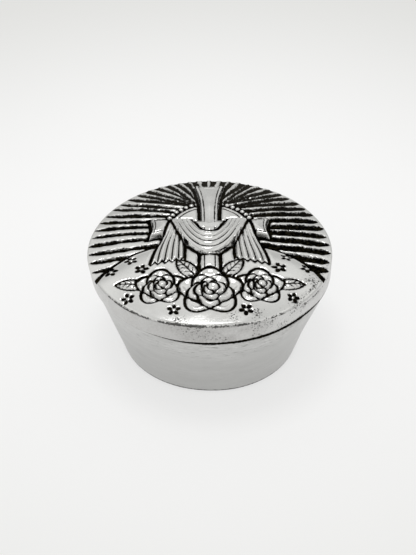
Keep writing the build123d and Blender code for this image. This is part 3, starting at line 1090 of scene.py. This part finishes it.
def make_floor():
    """A pale floor with a painted pool of light, brightest behind the box, whose shadow keeps a share of its
    full strength.
    """
    corners = [(x * FLOOR_HALF, y * FLOOR_HALF, 0) for x, y in ((-1, -1), (1, -1), (1, 1), (-1, 1))]
    mesh = bpy.data.meshes.new("floor")
    mesh.from_pydata(corners, [], [(0, 1, 2, 3)])
    floor = bpy.data.objects.new("floor", mesh)
    bpy.context.scene.collection.objects.link(floor)
    shader = Shader("pale_floor")
    away = shader.add("ShaderNodeVectorMath", {0: shader.position, 1: FLOOR_CENTRE}, operation="DISTANCE")
    away = away.outputs["Value"]
    # Painted pool of light: the floor's colour is brightest near FLOOR_CENTRE and darker further out.
    pale = shader.mix(shader.ramp(away, 0.06, 0.345), NEAR_FLOOR, FAR_FLOOR)
    shader.surface.inputs["Roughness"].default_value = 0.9
    shader.put(shader.surface.inputs["Base Color"], pale)
    shader.surface.inputs["Specular IOR Level"].default_value = 0.0
    # What is seen of the floor is mostly its own colour as light, and all of it far from the box.
    glow = shader.add("ShaderNodeEmission", {"Color": pale})
    rays = shader.add("ShaderNodeLightPath")
    mirrored = shader.math("MAXIMUM", rays.outputs["Is Glossy Ray"], rays.outputs["Is Transmission Ray"])
    seen = shader.math("MAXIMUM", rays.outputs["Is Camera Ray"], mirrored)
    lit_share = shader.ramp(away, 0.5, 1.5, SHADOW_SHARE, 0.0)
    glow_share = shader.math("MULTIPLY", seen, shader.math("SUBTRACT", 1.0, lit_share))
    values = {0: glow_share, 1: shader.surface.outputs[0], 2: glow.outputs[0]}
    mixed = shader.add("ShaderNodeMixShader", values)
    shader.put(shader.tree.nodes["Material Output"].inputs["Surface"], mixed.outputs[0])
    mesh.materials.append(shader.material)


def make_softbox():
    """One square light overhead, aimed at the box."""
    light = bpy.data.lights.new("overhead_softbox", "AREA")
    light.shape = "SQUARE"
    light.size = SOFTBOX_SIZE
    light.energy = SOFTBOX_POWER
    lamp = bpy.data.objects.new("overhead_softbox", light)
    lamp.location = SOFTBOX_PLACE
    lamp.rotation_euler = (Vector(SOFTBOX_TARGET) - Vector(SOFTBOX_PLACE)).to_track_quat("-Z", "Y").to_euler()
    bpy.context.scene.collection.objects.link(lamp)


def make_world():
    """A studio: pale at the horizon, dimmer over it, brightest at a middling height."""
    world = bpy.data.worlds.new("studio")
    world.use_nodes = True
    bpy.context.scene.world = world
    tree = world.node_tree
    background = tree.nodes["Background"]
    where = tree.nodes.new("ShaderNodeTexCoord").outputs["Generated"]
    split = tree.nodes.new("ShaderNodeSeparateXYZ")
    tree.links.new(where, split.inputs[0])
    ramp = tree.nodes.new("ShaderNodeValToRGB")
    tree.links.new(split.outputs["Z"], ramp.inputs[0])
    while len(ramp.color_ramp.elements) < len(STUDIO):
        ramp.color_ramp.elements.new(0.5)
    for element, (place, level) in zip(ramp.color_ramp.elements, STUDIO):
        element.position = place
        element.color = (level, level, 0.98 * level, 1)
    tree.links.new(ramp.outputs[0], background.inputs["Color"])
    background.inputs["Strength"].default_value = 1.0


def make_camera():
    """The photograph's viewpoint, in front of the box and above it."""
    camera = bpy.data.objects.new("camera", bpy.data.cameras.new("camera"))
    camera.data.sensor_width = SENSOR_MM
    camera.data.lens = SENSOR_MM * FOCAL_PX / PHOTO_HEIGHT_PX
    backward = Vector((0, -cos(CAMERA_ELEVATION), sin(CAMERA_ELEVATION)))
    camera.location = Vector(CAMERA_TARGET) + CAMERA_DISTANCE * backward
    camera.rotation_euler = Euler((pi / 2 - CAMERA_ELEVATION, 0, 0))
    camera.rotation_euler.rotate_axis("Z", CAMERA_ROLL)
    bpy.context.scene.collection.objects.link(camera)
    bpy.context.scene.camera = camera


make_floor()
make_world()
make_softbox()
make_camera()
bpy.context.scene.view_settings.view_transform = "Standard"
